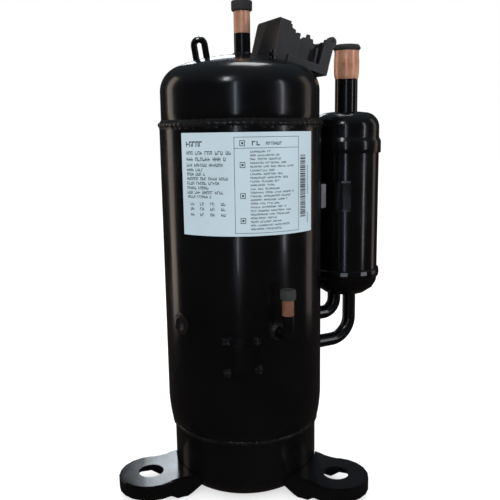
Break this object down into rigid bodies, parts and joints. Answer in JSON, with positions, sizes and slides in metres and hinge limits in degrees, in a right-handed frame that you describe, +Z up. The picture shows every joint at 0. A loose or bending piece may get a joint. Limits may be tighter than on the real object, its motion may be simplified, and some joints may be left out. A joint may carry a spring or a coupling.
{
  "type": "refrigeration rotary compressor",
  "caption": "Tall hermetic rotary compressor in a welded steel shell, with a side suction accumulator, bent suction pipes, copper sockets with rubber plugs, a terminal housing and lobed feet.",
  "frame": {"origin": "shell axis at the underside of the bottom cap, level with the lowest edge of the feet", "axes": "+Z up along the shell axis, front (the label side) faces -Y, accumulator to the right and behind"},
  "size_m": [0.2392, 0.2067, 0.4207],
  "materials": {
    "black_paint": "gloss",
    "copper": "satin",
    "black_rubber": "matte",
    "black_plastic": "satin",
    "label_film": "satin",
    "zinc_steel": "satin",
    "terminal_brass": "satin",
    "ground_steel": "satin",
    "lamination": "satin",
    "winding": "satin",
    "weight_brass": "satin",
    "cast_iron": "matte"
  },
  "bodies": {
    "compressor": {"shell_tube": "black_paint", "top_cap": "black_paint", "bottom_cap": "black_paint", "upper_weld_bead": "black_paint", "lower_weld_bead": "black_paint", "foot_left": "black_paint", "foot_right": "black_paint", "foot_rear": "black_paint", "lifting_eye": "black_paint", "discharge_sleeve": "black_paint", "discharge_weld": "black_paint", "accumulator_body": "black_paint", "accumulator_top": "black_paint", "accumulator_bottom": "black_paint", "suction_inlet_tube": "black_paint", "suction_pipe_upper": "black_paint", "suction_pipe_lower": "black_paint", "suction_collar_upper": "black_paint", "suction_collar_lower": "black_paint", "accumulator_bracket": "black_paint", "process_elbow": "black_paint", "process_collar": "black_paint", "pump_plug_weld": "black_paint", "sensor_clip": "black_paint", "ground_stud": "black_paint", "ground_nut": "black_paint", "discharge_socket": "copper", "suction_socket": "copper", "process_socket": "copper", "terminal_housing": "black_plastic", "rating_label": "label_film", "terminal_plate": "zinc_steel", "terminal_pin_1": "terminal_brass", "terminal_pin_2": "terminal_brass", "terminal_pin_3": "terminal_brass", "middle_plate": "ground_steel", "upper_muffler": "ground_steel", "lower_muffler": "ground_steel", "accumulator_screen": "ground_steel", "stator_core": "lamination", "stator_winding_top": "winding", "stator_winding_bottom": "winding", "main_bearing": "cast_iron", "sub_bearing": "cast_iron", "upper_cylinder": "cast_iron", "lower_cylinder": "cast_iron"},
    "crank": {"crankshaft": "ground_steel", "rotor_core": "lamination", "balance_weight_top": "weight_brass", "balance_weight_bottom": "weight_brass", "oil_pickup": "ground_steel"},
    "upper_roller": {"upper_roller": "ground_steel"},
    "lower_roller": {"lower_roller": "ground_steel"},
    "upper_vane": {"upper_vane": "ground_steel"},
    "lower_vane": {"lower_vane": "ground_steel"},
    "upper_reed": {"upper_reed": "ground_steel"},
    "lower_reed": {"lower_reed": "ground_steel"},
    "discharge_plug": {"discharge_plug": "black_rubber"},
    "suction_plug": {"suction_plug": "black_rubber"},
    "process_plug": {"process_plug": "black_rubber"}
  },
  "joints": [
    {"name": "crank_spin", "type": "hinge", "parent": "compressor", "child": "crank", "pos_m": [0, 0, 0.12], "axis": [0, 0, 1], "continuous": true},
    {"name": "upper_roller_spin", "type": "hinge", "parent": "crank", "child": "upper_roller", "pos_m": [0.00416, -0.0024, 0.138], "axis": [0, 0, 1], "continuous": true},
    {"name": "lower_roller_spin", "type": "hinge", "parent": "crank", "child": "lower_roller", "pos_m": [-0.00416, 0.0024, 0.109], "axis": [0, 0, 1], "continuous": true},
    {"name": "upper_vane_slide", "type": "slide", "parent": "compressor", "child": "upper_vane", "axis": [-0.5, -0.866, 0], "range_m": [0, 0.0048]},
    {"name": "lower_vane_slide", "type": "slide", "parent": "compressor", "child": "lower_vane", "axis": [-0.5, -0.866, 0], "range_m": [0, 0.0048]},
    {"name": "upper_reed_lift", "type": "hinge", "parent": "compressor", "child": "upper_reed", "pos_m": [-0.0228, 0.03711, 0.16], "axis": [-0.4074, -0.9132, 0], "range_deg": [0, 4], "stiffness_Nm_per_rad": 0.05},
    {"name": "lower_reed_lift", "type": "hinge", "parent": "compressor", "child": "lower_reed", "pos_m": [-0.0228, 0.03711, 0.0877], "axis": [0.4074, 0.9132, 0], "range_deg": [0, 4], "stiffness_Nm_per_rad": 0.05},
    {"name": "discharge_plug_lift", "type": "slide", "parent": "compressor", "child": "discharge_plug", "axis": [0, 0, 1], "range_m": [0, 0.03]},
    {"name": "suction_plug_lift", "type": "slide", "parent": "compressor", "child": "suction_plug", "axis": [0, 0, 1], "range_m": [0, 0.03]},
    {"name": "process_plug_lift", "type": "slide", "parent": "compressor", "child": "process_plug", "axis": [0, 0, 1], "range_m": [0, 0.03]}
  ],
  "couplings": [
    {"joint": "upper_roller_spin", "follows": "crank_spin", "ratio": -1},
    {"joint": "lower_roller_spin", "follows": "crank_spin", "ratio": -1}
  ]
}
